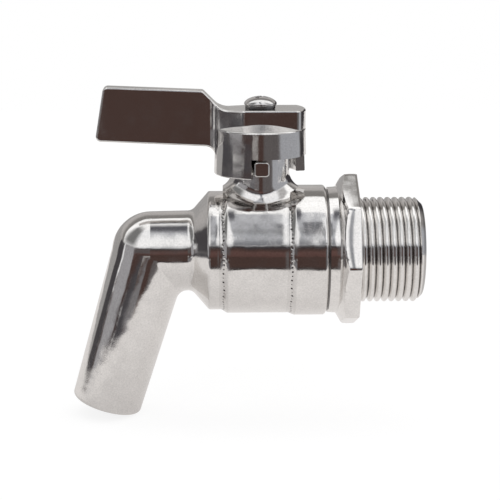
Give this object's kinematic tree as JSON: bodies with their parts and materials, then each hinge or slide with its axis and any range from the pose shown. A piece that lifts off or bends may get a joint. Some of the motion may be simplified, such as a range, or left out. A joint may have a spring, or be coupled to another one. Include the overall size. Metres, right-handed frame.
{
  "type": "beer faucet",
  "caption": "Polished stainless ball-valve faucet: bent spout, octagon collar with a male pipe thread, and a quarter-turn lever on a deep skirted hub.",
  "frame": {"origin": "centre of the octagon's outer face, on the axis of the wall thread", "axes": "+X along the thread axis, out of the end of the wall thread; +Z along the stem, up to the lever; the spout lies on the -X side and hangs down; +Y completes the right-handed set and points away from the picture's camera"},
  "size_m": [0.0882, 0.039, 0.0836],
  "materials": {
    "body_steel": "mirror-polished stainless steel casting",
    "weld_steel": "fine spot-weld bead, polished over",
    "thread_steel": "turned stainless steel with a faint lathe grain",
    "lever_steel": "mirror-polished stainless steel casting with soft edges",
    "fastener_steel": "bright stainless screw steel",
    "valve_steel": "lapped and polished stainless steel",
    "ptfe": "white PTFE",
    "seal_rubber": "black fluoro rubber"
  },
  "bodies": {
    "valve_body": {"spout_elbow": "body_steel", "outlet_weld": "weld_steel", "body_shell": "body_steel", "inlet_weld": "weld_steel", "inlet_collar": "body_steel", "end_connector": "thread_steel", "body_gasket": "ptfe", "outlet_seat": "ptfe", "inlet_seat": "ptfe", "stem_thrust_washer": "ptfe", "stem_packing_base": "ptfe", "stem_packing_rings": "ptfe", "packing_follower": "valve_steel", "gland_nut": "fastener_steel"},
    "lever": {"ball": "valve_steel", "stem": "valve_steel", "stem_o_ring": "seal_rubber", "lever_handle": "lever_steel", "handle_screw": "fastener_steel", "lock_washer": "fastener_steel"}
  },
  "joints": [
    {"name": "handle_turn", "type": "hinge", "parent": "valve_body", "child": "lever", "pos_m": [-0.0241, 0, 0.0295], "axis": [0, 0, -1], "range_deg": [0, 90]}
  ]
}
